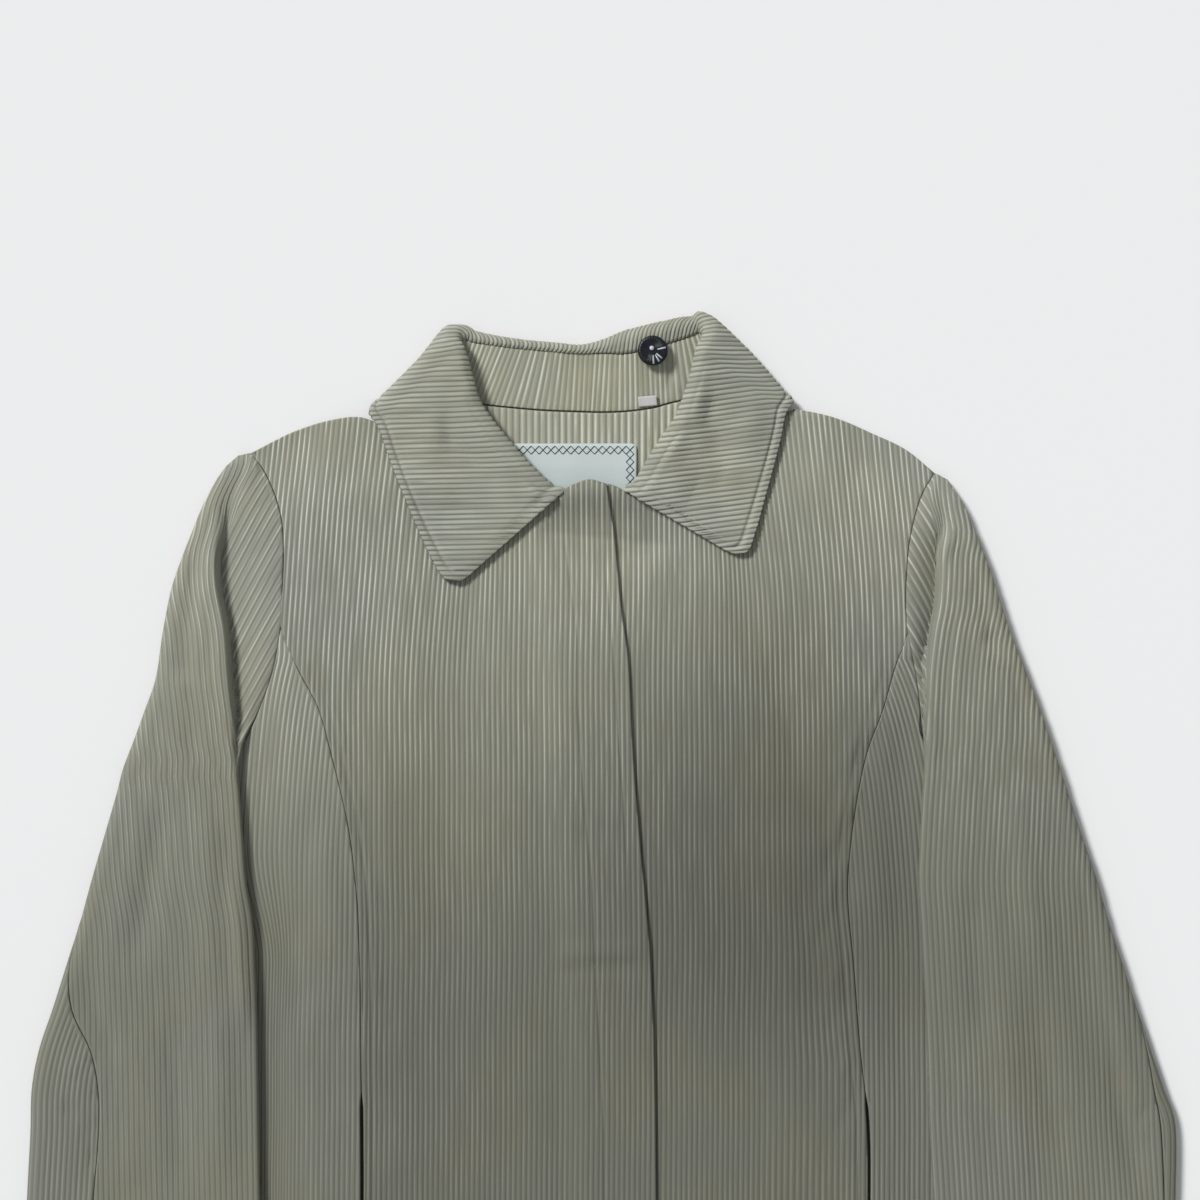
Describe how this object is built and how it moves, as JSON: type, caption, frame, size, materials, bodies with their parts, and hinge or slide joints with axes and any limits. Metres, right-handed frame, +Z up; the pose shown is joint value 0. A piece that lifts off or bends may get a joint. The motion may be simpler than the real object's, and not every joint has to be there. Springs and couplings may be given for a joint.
{
  "type": "corduroy coat",
  "caption": "Single-breasted wide-wale corduroy coat with a pointed collar, concealed fly, princess seams and two-piece sleeves, laid flat on its back.",
  "frame": {"origin": "centre of the bounding box in plan, on the surface that the coat lies on", "axes": "+Y from the hem towards the collar, +X to the wearer's left, +Z up out of the coat's front"},
  "size_m": [0.6916, 1.053, 0.0182],
  "materials": {
    "corduroy": "sage green wide-wale cotton corduroy with a soft nap",
    "facing_corduroy": "the same corduroy inside the back neck",
    "label_satin": "pale blue-green woven satin, bare",
    "tag_tape": "plain woven tape",
    "black_gloss": "polished black"
  },
  "bodies": {
    "root": {"back": "corduroy", "front_right": "corduroy", "front_left": "corduroy", "side_front_right": "corduroy", "side_front_left": "corduroy", "top_sleeve_right": "corduroy", "top_sleeve_left": "corduroy", "under_sleeve_right": "corduroy", "under_sleeve_left": "corduroy", "collar_fall": "corduroy", "collar_stand": "corduroy", "back_neck_facing": "facing_corduroy", "label": "label_satin", "size_tag": "tag_tape", "collar_button": "black_gloss"}
  },
  "joints": []
}
